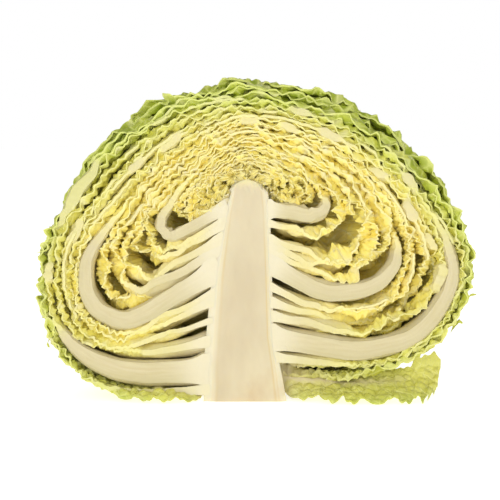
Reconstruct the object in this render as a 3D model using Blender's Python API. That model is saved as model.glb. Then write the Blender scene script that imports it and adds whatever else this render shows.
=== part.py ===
"""Half of a savoy cabbage, cut lengthwise through its stem and standing on the stem's flat end.

The stem runs up the middle of the cut face. Each leaf grows from the stem, runs outwards on a thick white rib,
turns up round the head and closes over the top, one leaf inside the next. The knife passed along the plane
y = FACE_Y, so the stem, ribs and leaves that crossed it end there. Two loose leaves lie in front of its foot.

A leaf of the head is laid out on a half disc before it is bent to shape. The disc's centre is the top of the
head, its round edge is the stem and its straight edge is the cut. The spot (a, b) of the disc, at distance q
from the centre, lies 1 - q of the way along the head's profile from the stem to the top.

Metres, +Z up. The origin is on the stem's flat end.
"""

import math

import bmesh
import bpy
import numpy as np

FACE_Y = -.008  # the knife's plane, in which the stem's axis lies
TABLE = 0

# The head's profile on the left of the cut, and on the right, from the stem round to the top of the head, as
# (distance from the axis, height). Each belongs to one layer, counted from the heart outwards, and the layers
# between follow from them.
LEFT = {
    0.0: ((.0074, .0985), (.0096, .0975), (.0122, .0978), (.0145, .0990), (.0150, .1020), (.0135, .1050),
          (.0100, .1075), (.0050, .1095), (0, .1100)),
    1.2: ((.0105, .0883), (.0240, .0815), (.0355, .0748), (.0405, .0775), (.0405, .0840), (.0370, .0920),
          (.0280, .1035), (.0145, .1165), (0, .1220)),
    2.2: ((.0165, .0600), (.0360, .0475), (.0570, .0372), (.0705, .0446), (.0747, .0600), (.0690, .0765),
          (.0500, .1010), (.0260, .1230), (0, .1320)),
    3.2: ((.0205, .0170), (.0416, .0150), (.0630, .0166), (.0820, .0280), (.0912, .0510), (.0890, .0765),
          (.0690, .1100), (.0370, .1340), (0, .1420)),
    4.0: ((.0200, .0070), (.0425, .0050), (.0650, .0065), (.0875, .0210), (.0968, .0510), (.0945, .0790),
          (.0740, .1160), (.0400, .1405), (0, .1490)),
}
RIGHT = {
    0.0: ((.0098, .0985), (.0110, .0975), (.0128, .0978), (.0145, .0990), (.0150, .1020), (.0135, .1050),
          (.0100, .1075), (.0050, .1095), (0, .1100)),
    0.8: ((.0107, .0906), (.0180, .0900), (.0262, .0886), (.0322, .0905), (.0345, .0955), (.0320, .1010),
          (.0240, .1075), (.0125, .1145), (0, .1180)),
    1.8: ((.0115, .0654), (.0252, .0565), (.0420, .0513), (.0585, .0552), (.0685, .0675), (.0690, .0810),
          (.0560, .1030), (.0300, .1210), (0, .1280)),
    2.8: ((.0125, .0308), (.0320, .0276), (.0530, .0246), (.0780, .0315), (.0945, .0550), (.0930, .0770),
          (.0710, .1075), (.0380, .1300), (0, .1380)),
    4.0: ((.0165, .0120), (.0350, .0115), (.0560, .0130), (.0850, .0235), (.1028, .0530), (.1016, .0800),
          (.0800, .1165), (.0425, .1415), (0, .1490)),
}
SHOULDER_LAYER, OUTER_LAYER = 3.2, 4.0
BACK_SAG = (0, .002, .0105, .0105, .002, 0, 0, 0, 0)  # how much lower the outer layer runs behind the cut

ROUNDING = .05  # how far along the profile its turns are rounded

# The leaves of the head from the heart outwards, as layer, bearing of the rib in degrees (0 right, 90 back,
# 180 left), thickness of the rib at its foot, where on the leaf the rib has thinned away, the leaf's reach along
# the disc, where 1 is the top, and its half width on it.
LEAVES = {
    "heart_bud": (0.12, 90, .0020, .30, 1.85, .98),
    "heart_leaf_1": (0.42, 120, .0018, .40, 1.60, .80),
    "heart_leaf_2": (0.86, 2, .0060, .56, 1.40, .74),
    "heart_leaf_3": (1.03, 14, .0024, .40, 1.45, .76),
    "heart_leaf_4": (1.20, 178, .0042, .80, 1.45, .76),
    "inner_leaf_1": (1.36, 168, .0024, .40, 1.45, .76),
    "inner_leaf_2": (1.52, 12, .0028, .40, 1.45, .78),
    "inner_leaf_3": (1.68, 170, .0032, .45, 1.45, .78),
    "inner_leaf_4": (1.84, 2, .0072, .62, 1.45, .78),
    "inner_leaf_5": (2.02, 95, .0030, .40, 1.50, .80),
    "inner_leaf_6": (2.20, 178, .0076, .72, 1.45, .78),
    "middle_leaf_1": (2.36, 14, .0032, .40, 1.50, .80),
    "middle_leaf_2": (2.50, 166, .0032, .40, 1.50, .80),
    "middle_leaf_3": (2.65, 65, .0030, .40, 1.45, .80),
    "middle_leaf_4": (2.80, 3, .0084, .80, 1.42, .82),
    "middle_leaf_5": (3.00, 168, .0036, .45, 1.42, .80),
    "middle_leaf_6": (3.20, 177, .0096, .48, 1.26, .80),
    "outer_leaf_1": (3.42, 38, .0024, .50, 1.38, .76),
    "outer_leaf_2": (3.64, 98, .0036, .50, 1.25, .66),
    "outer_leaf_3": (3.81, 128, .0052, .70, 1.10, .62),
    "outer_leaf_4": (4.00, 50, .0066, .80, 1.08, .66),
}
BLADE = .0007
RIB_HALF_WIDTH = .010
RIB_TAPER = 3.5  # a rib keeps its thickness for most of its length and thins near its end
RIB_INWARD = .5  # the share of the rib's thickness that stands on the blade's inner side
RIB_CROWDING = 1.4  # a leaf within this many layers of a rib is pushed aside by it
FOOT_WIDTH = .34  # the blade's half width where it leaves the stem, as a share of the greatest
WIDEST_AT = .55  # of the leaf's length
PUCKER = .0010  # how far the blades swell and sink between the ribs

COLUMNS = 34  # of the flat grid that all the leaves are cut from
ROWS = (0, .06, .14, .24, .35, .47, .6, .74, .88, 1)  # their places between the cut and the back
MERGE = .014  # spots of the disc that are nearer than this become one

STEM_GAP = .0006  # between the stem and the foot of each leaf
STEM_SIDES = 12
STEM_TIP = ((.0082, .1010), (.0070, .1035), (.0045, .1052), (.0016, .1060))  # above the topmost foot, as (radius, height)
STEM_END = {"left": .0205, "right": .0187}  # the stem's radius at its flat end

# The loose leaves, each as cross rows from its foot to its tip: three spots from the front edge to the back.
LOOSE_LEAVES = {
    "loose_leaf_1": (
        ((.0196, -.0075, .0012), (.0200, -.0030, .0044), (.0203, .0010, .0078)),
        ((.0330, -.0130, .0002), (.0350, -.0040, .0046), (.0360, .0040, .0080)),
        ((.0500, -.0185, .0002), (.0520, -.0060, .0060), (.0530, .0070, .0100)),
        ((.0690, -.0180, .0002), (.0710, -.0050, .0072), (.0710, .0080, .0126)),
        ((.0830, -.0120, .0006), (.0860, -.0010, .0084), (.0850, .0090, .0150)),
        ((.0900, -.0050, .0040), (.0925, .0020, .0096), (.0900, .0090, .0150)),
    ),
    "loose_leaf_2": (
        ((-.0210, -.0060, .0002), (-.0212, -.0030, .0020), (-.0214, .0010, .0026)),
        ((-.0310, -.0150, .0002), (-.0330, -.0070, .0024), (-.0350, .0020, .0022)),
        ((-.0450, -.0160, .0006), (-.0470, -.0080, .0026), (-.0480, .0010, .0020)),
        ((-.0600, -.0120, .0014), (-.0610, -.0060, .0028), (-.0600, .0000, .0020)),
    ),
}
LOOSE_STEPS = 3  # facets between two rows


def profile(keys, layer, u):
    """(distance, height) of a layer at u, which runs from 0 at the stem to 1 at the top of the head."""
    knots = sorted(keys)
    upper = min(max(int(np.searchsorted(knots, layer, side="right")), 1), len(knots) - 1)
    lower = upper - 1
    share = (layer - knots[lower]) / (knots[upper] - knots[lower])
    points = np.array(keys[knots[lower]]) * (1 - share) + np.array(keys[knots[upper]]) * share
    ease = np.minimum(ROUNDING, np.clip(np.minimum(u, 1 - u), 0, 1))
    return (curve(points, u - ease) + 2 * curve(points, u) + curve(points, u + ease)) / 4


def curve(points, u):
    """A smooth curve through the points, carried on past the last as its mirror image."""
    p = np.array(points, float)
    spans = len(p) - 1
    p = np.vstack([2 * p[0] - p[1], p, p[-2] * (-1, 1)])
    place = np.clip(u, 0, 1) * spans
    i = np.minimum(place.astype(int), spans - 1)
    f = (place - i)[..., None]
    p0, p1, p2, p3 = p[i], p[i + 1], p[i + 2], p[i + 3]
    return p1 + f / 2 * (p2 - p0 + f * (2 * p0 - 5 * p1 + 4 * p2 - p3 + f * (3 * p1 - p0 - 3 * p2 + p3)))


def on_head(layer, a, b):
    """Where a layer passes over the spot (a, b) of the disc."""
    q = np.hypot(a, b)
    toward = np.arctan2(b, a)
    right, left = profile(RIGHT, layer, 1 - q), profile(LEFT, layer, 1 - q)
    back = (right + left) / 2
    sag = curve([(0, drop) for drop in BACK_SAG], 1 - q)[..., 1]
    back[..., 1] -= sag * max(layer - SHOULDER_LAYER, 0) / (OUTER_LAYER - SHOULDER_LAYER)
    side = np.where(np.cos(toward)[..., None] > 0, right, left)
    behind = (np.sin(toward) ** 2)[..., None]
    shape = side * (1 - behind) + back * behind
    radius, height = shape[..., 0], shape[..., 1]
    return np.stack([radius * np.cos(toward), FACE_Y + radius * np.sin(toward), height], -1)


def outward(layer, a, b):
    """The unit normal of a layer, pointing out of the head."""
    step = .001
    along_a = on_head(layer, a + step, b) - on_head(layer, a - step, b)
    along_b = on_head(layer, a, b + step) - on_head(layer, a, b - step)
    normal = np.cross(along_a, along_b)
    return normal / np.linalg.norm(normal, axis=-1, keepdims=True)


def on_leaf(bearing, a, b):
    """The same spot as distance along a leaf from its foot, and distance across from its rib."""
    turn = math.radians(bearing)
    return 1 - a * math.cos(turn) - b * math.sin(turn), b * math.cos(turn) - a * math.sin(turn)


def half_width(share):
    """How wide a leaf is at a share of its length, against its widest: narrow at the foot, rounded at the tip."""
    swelling = FOOT_WIDTH + (1 - FOOT_WIDTH) * np.sin(np.pi / 2 * np.clip(share / WIDEST_AT, 0, 1))
    closing = np.cos(np.pi / 2 * np.clip((share - WIDEST_AT) / (1 - WIDEST_AT), 0, 1)) ** .6
    return np.where(share < WIDEST_AT, swelling, closing)


def covered(leaf, a, b):
    """Whether the leaf covers the spot."""
    _, bearing, _, _, reach, widest = leaf
    length, across = on_leaf(bearing, a, b)
    return (np.abs(across) <= widest * half_width(length / reach)) & (length < reach) & (np.hypot(a, b) <= 1)


def rib(leaf, a, b):
    """The thickness that the leaf's rib adds at the spot."""
    layer, bearing, foot, end, _, _ = leaf
    length, across = on_leaf(bearing, a, b)
    spot = on_head(layer, a, b)
    stretch = np.hypot(spot[..., 0], spot[..., 1] - FACE_Y) / np.maximum(np.hypot(a, b), MERGE)
    thinning = 1 - np.clip(length / end, 0, 1) ** RIB_TAPER
    return foot * thinning * np.exp(-((across * stretch / RIB_HALF_WIDTH) ** 2))


def pushed(layer, a, b):
    """How far the ribs of the other leaves push this one outwards, or inwards where it is negative."""
    push = 0
    for other in LEAVES.values():
        apart = layer - other[0]
        share = 1 - RIB_INWARD if apart > 0 else -RIB_INWARD
        if 0 < abs(apart) < RIB_CROWDING:
            push = push + share * (1 - abs(apart) / RIB_CROWDING) * rib(other, a, b)
    return push


def pucker(a, b):
    """The swelling that all the blades share, so that they lie in one another."""
    return PUCKER * np.sin(9 * a + 4 * b) * np.sin(8 * b - 3 * a)


def stem_radius(bearing, height):
    """How far the stem's surface lies from its axis."""
    radii = []
    for keys, end in ((RIGHT, STEM_END["right"]), (LEFT, STEM_END["left"])):
        feet = sorted((z, r - STEM_GAP) for (r, z), *_ in keys.values())
        rings = [(TABLE, end), *feet, *((z, r) for r, z in STEM_TIP)]
        radii.append(np.interp(height, [z for z, _ in rings], [r for _, r in rings], right=0))
    share = (1 - np.cos(bearing)) / 2
    return radii[0] * (1 - share) + radii[1] * share


def clear_of_stem(spots):
    """The spots, moved straight out from the axis where they would touch the stem."""
    x, y, z = spots.T
    radius, bearing = np.hypot(x, y - FACE_Y), np.arctan2(y - FACE_Y, x)
    clear = np.maximum(radius, np.where(z < STEM_TIP[0][1], stem_radius(bearing, z) + STEM_GAP, 0))
    return np.stack([clear * np.cos(bearing), FACE_Y + clear * np.sin(bearing), z], -1)


def bounds_of(leaf):
    """The leaf's reach in a for each b, and the range of b."""
    a = np.linspace(-1, 1, 1001)
    b = np.linspace(0, 1, 501)
    inside = covered(leaf, a[None, :], b[:, None])
    rows = np.flatnonzero(inside.any(1))
    b = b[rows]
    low = a[inside[rows].argmax(1)]
    high = a[len(a) - 1 - inside[rows][:, ::-1].argmax(1)]
    return b, low, high


def flat_slab(columns, rows):
    """A grid of triangles two faces deep, its vertices at (column, row, 0) and (column, row, 1)."""
    mesh = bmesh.new()
    bmesh.ops.create_grid(mesh, x_segments=columns, y_segments=rows, size=.5)
    bmesh.ops.scale(mesh, vec=(columns, rows, 1), verts=mesh.verts)
    bmesh.ops.translate(mesh, vec=(columns / 2, rows / 2, 0), verts=mesh.verts)
    return mesh


def thicken(mesh):
    """Splits the flat faces into triangles and gives them a copy at height 1, closed round the edge."""
    bmesh.ops.triangulate(mesh, faces=mesh.faces, quad_method="FIXED")
    raised = bmesh.ops.extrude_face_region(mesh, geom=list(mesh.faces))["geom"]
    corners = [item for item in raised if isinstance(item, bmesh.types.BMVert)]
    bmesh.ops.translate(mesh, vec=(0, 0, 1), verts=corners)


def spots_of(mesh):
    return np.array([vertex.co for vertex in mesh.verts])


def move_to(mesh, spots):
    for vertex, spot in zip(mesh.verts, spots):
        vertex.co = spot


def leaf_of_head(leaf):
    """One leaf: cut out of the flat grid, given its thickness and bent onto its layer."""
    layer = leaf[0]
    mesh = flat_slab(COLUMNS, len(ROWS) - 1)
    column, row, _ = spots_of(mesh).T
    b_known, low, high = bounds_of(leaf)
    b = np.clip(np.array(ROWS)[np.rint(row).astype(int)], b_known[0], b_known[-1])
    a = np.clip(2 * column / COLUMNS - 1, np.interp(b, b_known, low), np.interp(b, b_known, high))
    move_to(mesh, np.stack([a, b, 0 * a], -1))
    bmesh.ops.remove_doubles(mesh, verts=mesh.verts, dist=MERGE)
    thicken(mesh)

    a, b, face = spots_of(mesh).T
    depth = np.where(face > .5, 1 - RIB_INWARD, -RIB_INWARD) * rib(leaf, a, b) + (face - .5) * BLADE
    offset = depth + pushed(layer, a, b) + pucker(a, b)
    spots = clear_of_stem(on_head(layer, a, b) + offset[:, None] * outward(layer, a, b))
    spots[:, 1] = np.where(b < MERGE, FACE_Y, spots[:, 1])
    spots[:, 2] = np.maximum(spots[:, 2], TABLE + (face < .5) * BLADE)
    move_to(mesh, spots)
    return mesh


def loose_leaf(rows):
    """A leaf that has come away: a thin blade through its rows."""
    steps = LOOSE_STEPS * (len(rows) - 1)
    mesh = flat_slab(steps, LOOSE_STEPS * 2)
    thicken(mesh)
    along, across, face = spots_of(mesh).T
    lines = np.array(rows)
    edges = [open_curve(lines[:, i], along / steps) for i in range(3)]
    share = (across / (LOOSE_STEPS * 2))[:, None]
    spots = edges[0] * (1 - share) * (1 - 2 * share) + 4 * edges[1] * share * (1 - share)
    spots += edges[2] * share * (2 * share - 1)
    spots[:, 2] += face * BLADE
    move_to(mesh, spots)
    return mesh


def open_curve(points, u):
    """A smooth open curve through points of the room."""
    place = u * (len(points) - 1)
    i = np.minimum(place.astype(int), len(points) - 2)
    f = (place - i)[..., None]
    p = np.vstack([2 * points[0] - points[1], points, 2 * points[-1] - points[-2]])
    p0, p1, p2, p3 = p[i], p[i + 1], p[i + 2], p[i + 3]
    return p1 + f / 2 * (p2 - p0 + f * (2 * p0 - 5 * p1 + 4 * p2 - p3 + f * (3 * p1 - p0 - 3 * p2 + p3)))


def stem():
    """The stem: half a round column from the table up to the growing tip, flat where it was cut."""
    feet = sorted(z for keys in (RIGHT, LEFT) for (_, z), *_ in keys.values())
    heights = [TABLE, *sorted(set(feet)), *(z for _, z in STEM_TIP)]
    mesh = flat_slab(STEM_SIDES, len(heights) - 1)
    thicken(mesh)
    column, row, face = spots_of(mesh).T
    height = np.array(heights)[np.rint(row).astype(int)]
    bearing = math.pi * column / STEM_SIDES
    radius = stem_radius(bearing, height)
    x = radius * np.cos(bearing)
    y = FACE_Y + np.where(face > .5, radius * np.sin(bearing), 0)
    move_to(mesh, np.stack([x, y, height], -1))
    bmesh.ops.remove_doubles(mesh, verts=mesh.verts, dist=1e-5)
    return mesh


def material(name, colour, roughness):
    made = bpy.data.materials.new(name)
    made.use_nodes = True
    surface = made.node_tree.nodes["Principled BSDF"]
    surface.inputs["Base Color"].default_value = (*colour, 1)
    surface.inputs["Roughness"].default_value = roughness
    return made


def add(name, mesh, look):
    bmesh.ops.recalc_face_normals(mesh, faces=mesh.faces)
    data = bpy.data.meshes.new(name)
    mesh.to_mesh(data)
    mesh.free()
    data.materials.append(look)
    bpy.context.collection.objects.link(bpy.data.objects.new(name, data))


def main():
    for item in list(bpy.data.objects):
        bpy.data.objects.remove(item)
    looks = {
        "stem": material("stem", (.80, .76, .52), .45),
        "heart": material("heart_leaf", (.72, .66, .22), .5),
        "inner": material("inner_leaf", (.62, .60, .20), .5),
        "middle": material("middle_leaf", (.42, .50, .14), .5),
        "outer": material("outer_leaf", (.20, .32, .07), .5),
        "loose": material("loose_leaf", (.40, .50, .20), .5),
    }
    add("stem", stem(), looks["stem"])
    for name, leaf in LEAVES.items():
        add(name, leaf_of_head(leaf), looks[name.split("_")[0]])
    for name, rows in LOOSE_LEAVES.items():
        add(name, loose_leaf(rows), looks["loose"])


main()
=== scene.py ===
"""A savoy cabbage cut in half lengthwise, standing on its stem with the cut face towards the camera."""

import bmesh
import bpy
import numpy as np
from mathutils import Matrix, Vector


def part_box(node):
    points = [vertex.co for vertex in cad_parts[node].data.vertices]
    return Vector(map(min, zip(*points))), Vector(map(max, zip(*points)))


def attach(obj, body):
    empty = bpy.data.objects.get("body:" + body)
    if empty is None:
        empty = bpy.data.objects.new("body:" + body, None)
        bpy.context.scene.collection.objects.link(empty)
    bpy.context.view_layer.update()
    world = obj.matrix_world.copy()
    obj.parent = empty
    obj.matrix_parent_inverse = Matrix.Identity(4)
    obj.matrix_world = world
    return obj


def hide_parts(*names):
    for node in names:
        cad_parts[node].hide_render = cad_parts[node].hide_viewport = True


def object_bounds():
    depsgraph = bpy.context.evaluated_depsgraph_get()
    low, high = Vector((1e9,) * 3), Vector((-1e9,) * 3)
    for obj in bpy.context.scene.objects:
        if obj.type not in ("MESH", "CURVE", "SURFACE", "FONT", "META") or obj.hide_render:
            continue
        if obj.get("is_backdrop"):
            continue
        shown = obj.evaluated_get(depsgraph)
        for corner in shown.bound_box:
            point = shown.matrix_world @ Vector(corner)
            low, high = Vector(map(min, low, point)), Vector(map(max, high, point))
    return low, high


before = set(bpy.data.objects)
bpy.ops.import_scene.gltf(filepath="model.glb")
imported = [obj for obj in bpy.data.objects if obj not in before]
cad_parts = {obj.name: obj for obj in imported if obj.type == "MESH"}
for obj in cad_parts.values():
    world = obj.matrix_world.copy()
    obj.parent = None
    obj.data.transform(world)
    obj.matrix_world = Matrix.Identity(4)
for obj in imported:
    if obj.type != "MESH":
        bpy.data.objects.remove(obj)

cad_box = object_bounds()
scene = bpy.context.scene


# ---- The stem ----
# A cream column of firm flesh, from the flat end that the head stands on up to the growing tip. The knife has
# halved it and shows moist pith, a yellowish line of vessels down either side, and the rind round it.

FACE_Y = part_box("stem")[0][1]  # the knife's plane
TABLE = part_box("stem")[0][2]
MM = .001

# The head's profile either side of the cut, for layers counted from the heart outwards: nine spots, as
# (distance from the axis, height), lead from the stem out, up and over to the top.
LEFT = {
    0.0: ((.0074, .0985), (.0096, .0975), (.0122, .0978), (.0145, .0990), (.0150, .1020), (.0135, .1050),
          (.0100, .1075), (.0050, .1095), (0, .1100)),
    1.2: ((.0105, .0883), (.0230, .0812), (.0330, .0764), (.0388, .0788), (.0402, .0850), (.0370, .0925),
          (.0280, .1035), (.0145, .1165), (0, .1220)),
    2.2: ((.0165, .0600), (.0360, .0475), (.0570, .0372), (.0705, .0446), (.0747, .0600), (.0690, .0765),
          (.0500, .1010), (.0260, .1230), (0, .1320)),
    3.2: ((.0205, .0170), (.0416, .0150), (.0630, .0166), (.0820, .0280), (.0912, .0510), (.0890, .0765),
          (.0690, .1100), (.0370, .1340), (0, .1420)),
    4.0: ((.0200, .0070), (.0425, .0050), (.0650, .0065), (.0875, .0210), (.0968, .0510), (.0945, .0790),
          (.0740, .1160), (.0400, .1405), (0, .1490)),
}
RIGHT = {
    0.0: ((.0098, .0985), (.0110, .0975), (.0128, .0978), (.0145, .0990), (.0150, .1020), (.0135, .1050),
          (.0100, .1075), (.0050, .1095), (0, .1100)),
    0.8: ((.0107, .0906), (.0180, .0900), (.0262, .0886), (.0322, .0905), (.0345, .0955), (.0320, .1010),
          (.0240, .1075), (.0125, .1145), (0, .1180)),
    1.8: ((.0115, .0654), (.0252, .0565), (.0420, .0513), (.0585, .0552), (.0685, .0675), (.0690, .0810),
          (.0560, .1030), (.0300, .1210), (0, .1280)),
    2.8: ((.0125, .0308), (.0320, .0276), (.0530, .0246), (.0780, .0315), (.0945, .0550), (.0930, .0770),
          (.0710, .1075), (.0380, .1300), (0, .1380)),
    4.0: ((.0165, .0120), (.0350, .0115), (.0560, .0130), (.0850, .0235), (.1028, .0530), (.1016, .0800),
          (.0800, .1165), (.0425, .1415), (0, .1490)),
}
STEM_TIP = ((.0081, .1000), (.0064, .1022), (.0040, .1037), (.0014, .1044))  # (radius, height) at the tip
STEM_END = {"left": .0205, "right": .0187}  # its radius at the flat end
STEM_GRID = (56, 90)  # columns across and rows up
RIM = (.84, .96)  # the share of the radius over which the face drops back to the feet of the leaves
TIP_FROM, TIP_OVER = .0965, .008  # the height from which the stem softens into its tip, and over how much


def stem_radius(right, height):
    """The stem's radius at each height, from 1 on its right to 0 on its left."""
    sides = []
    for keys, end in ((RIGHT, STEM_END["right"]), (LEFT, STEM_END["left"])):
        feet = sorted((z, r) for (r, z), *_ in keys.values())
        rings = [(TABLE, end), *feet, *((z, r) for r, z in STEM_TIP)]
        sides.append(np.interp(height, [z for z, _ in rings], [r for _, r in rings]))
    return sides[0] * right + sides[1] * (1 - right)


CHANCES = np.random.default_rng(5).random((128, 128, 4))  # all the randomness of the head, seeded


def wobble(x, y, size, which=0):
    """Smooth noise from -1 to 1, with one random value to each square of the given size."""
    x, y = x / size, y / size
    i, j = np.floor(x).astype(int), np.floor(y).astype(int)
    fx, fy = x - i, y - j
    fx, fy = fx * fx * (3 - 2 * fx), fy * fy * (3 - 2 * fy)
    corner = lambda di, dj: CHANCES[(i + di) % 128, (j + dj) % 128, which]
    low = corner(0, 0) * (1 - fx) + corner(1, 0) * fx
    high = corner(0, 1) * (1 - fx) + corner(1, 1) * fx
    return 2 * (low * (1 - fy) + high * fy) - 1


def slab_grid(columns, rows):
    """A flat grid two faces deep. Its vertices stand at (column, row, 0) and (column, row, 1)."""
    mesh = bmesh.new()
    bmesh.ops.create_grid(mesh, x_segments=columns, y_segments=rows, size=.5)
    bmesh.ops.scale(mesh, vec=(columns, rows, 1), verts=mesh.verts)
    bmesh.ops.translate(mesh, vec=(columns / 2, rows / 2, 0), verts=mesh.verts)
    raised = bmesh.ops.extrude_face_region(mesh, geom=list(mesh.faces))["geom"]
    corners = [item for item in raised if isinstance(item, bmesh.types.BMVert)]
    bmesh.ops.translate(mesh, vec=(0, 0, 1), verts=corners)
    bmesh.ops.recalc_face_normals(mesh, faces=mesh.faces)
    return mesh


SHARP_ANGLE = 60  # degrees between faces that meet at a hard edge


def to_piece(name, mesh, places, merge):
    """An object from a grid: places(column, row, face) gives each vertex its spot and its named values.

    Vertices nearer to each other than merge become one.
    """
    data = bpy.data.meshes.new(name)
    mesh.to_mesh(data)
    mesh.free()
    spots = np.empty(len(data.vertices) * 3)
    data.vertices.foreach_get("co", spots)
    column, row, face = np.rint(spots.reshape(-1, 3)).astype(int).T
    moved, values = places(column, row, face)
    data.vertices.foreach_set("co", moved.ravel())
    for label, value in values.items():
        data.attributes.new(label, "FLOAT", "POINT").data.foreach_set("value", value.astype(float))
    tidy = bmesh.new()
    tidy.from_mesh(data)
    bmesh.ops.remove_doubles(tidy, verts=tidy.verts, dist=merge)
    bmesh.ops.recalc_face_normals(tidy, faces=tidy.faces)
    # The knife leaves a hard edge all round the cut.
    cut = tidy.verts.layers.float["cut"]
    faces_cut = {f for f in tidy.faces if all(v[cut] > .99 for v in f.verts)}
    border = [e for e in tidy.edges if len({f in faces_cut for f in e.link_faces}) == 2]
    tidy.to_mesh(data)
    data.shade_smooth()
    data.set_sharp_from_angle(angle=np.radians(SHARP_ANGLE))
    for edge in border:
        data.edges[edge.index].use_edge_sharp = True
    tidy.free()
    piece = bpy.data.objects.new(name, data)
    scene.collection.objects.link(piece)
    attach(piece, "root")
    return piece


class Value:
    """A node's output in a material. Arithmetic on it adds Math nodes."""

    def __init__(self, tree, output):
        self.tree, self.output = tree, output

    def node(self, kind, settings, inputs, output=0):
        """Adds a node, sets it, then feeds its sockets with values or with other outputs."""
        made = self.tree.nodes.new(kind)
        for key, value in settings.items():
            if key == "stops":
                ramp = made.color_ramp
                while len(ramp.elements) < len(value):
                    ramp.elements.new(.5)
                for stop, (position, colour) in zip(ramp.elements, value):
                    stop.position, stop.color = position, (*colour, 1)
            else:
                setattr(made, key, value)
        for key, value in inputs.items():
            if isinstance(value, Value):
                self.tree.links.new(value.output, made.inputs[key])
            else:
                made.inputs[key].default_value = value
        return Value(self.tree, made.outputs[output])

    def math(self, operation, a, b=0):
        return self.node("ShaderNodeMath", {"operation": operation}, {0: a, 1: b})

    def __add__(self, other):
        return self.math("ADD", self, other)

    def __radd__(self, other):
        return self.math("ADD", other, self)

    def __sub__(self, other):
        return self.math("SUBTRACT", self, other)

    def __rsub__(self, other):
        return self.math("SUBTRACT", other, self)

    def __mul__(self, other):
        return self.math("MULTIPLY", self, other)

    def __rmul__(self, other):
        return self.math("MULTIPLY", other, self)

    def fraction(self):
        return self.math("FRACT", self)

    def clamped(self):
        return self.node("ShaderNodeClamp", {}, {"Value": self})

    def between(self, low, high):
        """How far this value has come from the first number, as 0, to the second, as 1."""
        return self.node("ShaderNodeMapRange", {}, {0: self, 1: low, 2: high})

    def blend(self, low, high):
        """The colour that runs from low, where this value is 0, to high, where it is 1."""
        low, high = ((*c, 1) if isinstance(c, tuple) else c for c in (low, high))
        return self.node("ShaderNodeMix", {"data_type": "RGBA"}, {0: self, 6: low, 7: high}, 2)


def new_finish(name, roughness, scatter, scatter_radius):
    """A plain material, the sockets of its shader, and the place on the object as its nodes' first Value."""
    material = bpy.data.materials.new(name)
    material.use_nodes = True
    surface = material.node_tree.nodes["Principled BSDF"].inputs
    surface["Roughness"].default_value = roughness
    surface["Subsurface Weight"].default_value = scatter
    surface["Subsurface Radius"].default_value = scatter_radius
    surface["Subsurface Scale"].default_value = 1
    surface["Specular IOR Level"].default_value = .35
    place = Value(material.node_tree, None).node("ShaderNodeTexCoord", {}, {}, "Object")
    return material, surface, place


def feed(surface, socket, value):
    value.tree.links.new(value.output, surface[socket])


def noise(place, scale, detail=3, stretch=(1, 1, 1)):
    """Cloudy noise from 0 to 1. A stretch below 1 draws it out in that direction, as in fibres."""
    stretched = place.node("ShaderNodeMapping", {}, {"Vector": place, "Scale": stretch})
    return place.node("ShaderNodeTexNoise", {}, {"Vector": stretched, "Scale": scale, "Detail": detail})


def bump(surface, height, distance):
    made = height.node("ShaderNodeBump", {}, {"Height": height, "Distance": distance, "Strength": .5})
    feed(surface, "Normal", made)


def attribute(place, name):
    return place.node("ShaderNodeAttribute", {"attribute_name": name}, {}, "Fac")


def stem_places(column, row, face):
    across, up = STEM_GRID
    height = TABLE + (STEM_TIP[-1][1] - TABLE) * row / up
    bearing = np.pi * column / across
    right = (1 + np.cos(bearing)) / 2
    radius = stem_radius(right, height)
    x = radius * np.cos(bearing)
    back = radius * np.sin(bearing)
    # The knife's face is a little uneven. It stands proud of the leaves' feet, and its tip is ragged.
    relief = .12 * MM * wobble(x, height, .006) + .08 * MM * wobble(x, height, .0016, 1)
    tip = np.clip((height - TIP_FROM) / TIP_OVER, 0, 1)
    relief += tip * (.4 * MM + .5 * MM * wobble(x, height, .0013, 2))
    x *= 1 + .1 * tip * wobble(height, bearing, .0012, 3)
    rim = np.abs(x) / radius
    drop = .6 * MM * np.clip((rim - RIM[0]) / (RIM[1] - RIM[0]), 0, 1) - .2 * MM
    y = FACE_Y + np.where(face > 0, back, relief + drop)
    return np.stack([x, y, height], -1), {"rim": rim, "tip": tip, "cut": 1. - face}


stem = to_piece("stem_flesh", slab_grid(*STEM_GRID), stem_places, merge=1e-5)
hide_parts("stem")

PITH, PALE_PITH, RIND = (.64, .54, .35), (.72, .63, .42), (.80, .73, .52)
VESSELS, STAIN, BUD = (.68, .52, .22), (.60, .45, .24), (.80, .70, .36)
VESSEL_LINE = ((.66, 0), (.72, 1), (.77, .1), (.81, .6), (.86, 0))  # (share of the radius, how clear)

material, surface, place = new_finish("stem_flesh", roughness=.42, scatter=.35,
                                      scatter_radius=(.004, .003, .0016))
rim = attribute(place, "rim")
streaks = noise(place, scale=90, detail=4, stretch=(1, 1, .12))
line = rim.node("ShaderNodeValToRGB", {"stops": [(at, (shown,) * 3) for at, shown in VESSEL_LINE]}, {0: rim})
pith = noise(place, scale=60, detail=5, stretch=(1, 1, .4)).between(.35, .65).blend(PITH, PALE_PITH)
flesh = rim.between(.7, .84).blend(pith, RIND)
flesh = (line * (streaks * 2.2 - .6).clamped() * .85).clamped().blend(flesh, VESSELS)
low = place.node("ShaderNodeSeparateXYZ", {}, {0: place}, "Z").between(.06, .0)
stains = noise(place, scale=42, detail=5, stretch=(1, 1, .6)).between(.55, .72)
flesh = (stains * (low * .6 + .2)).blend(flesh, STAIN)
budding = (attribute(place, "tip") * 1.6 + noise(place, scale=500) * 1.4 - 1.3).clamped()
feed(surface, "Base Color", budding.blend(flesh, BUD))
bump(surface, streaks, distance=.0005)
stem.data.materials.append(material)


# ---- The heart leaves ----
# The youngest leaves are folded tightly over the growing tip, thin, yellow and finely crinkled. Every leaf of
# the head grows from the stem on its own rib, runs outwards, turns up and closes over the one inside it.

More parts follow.
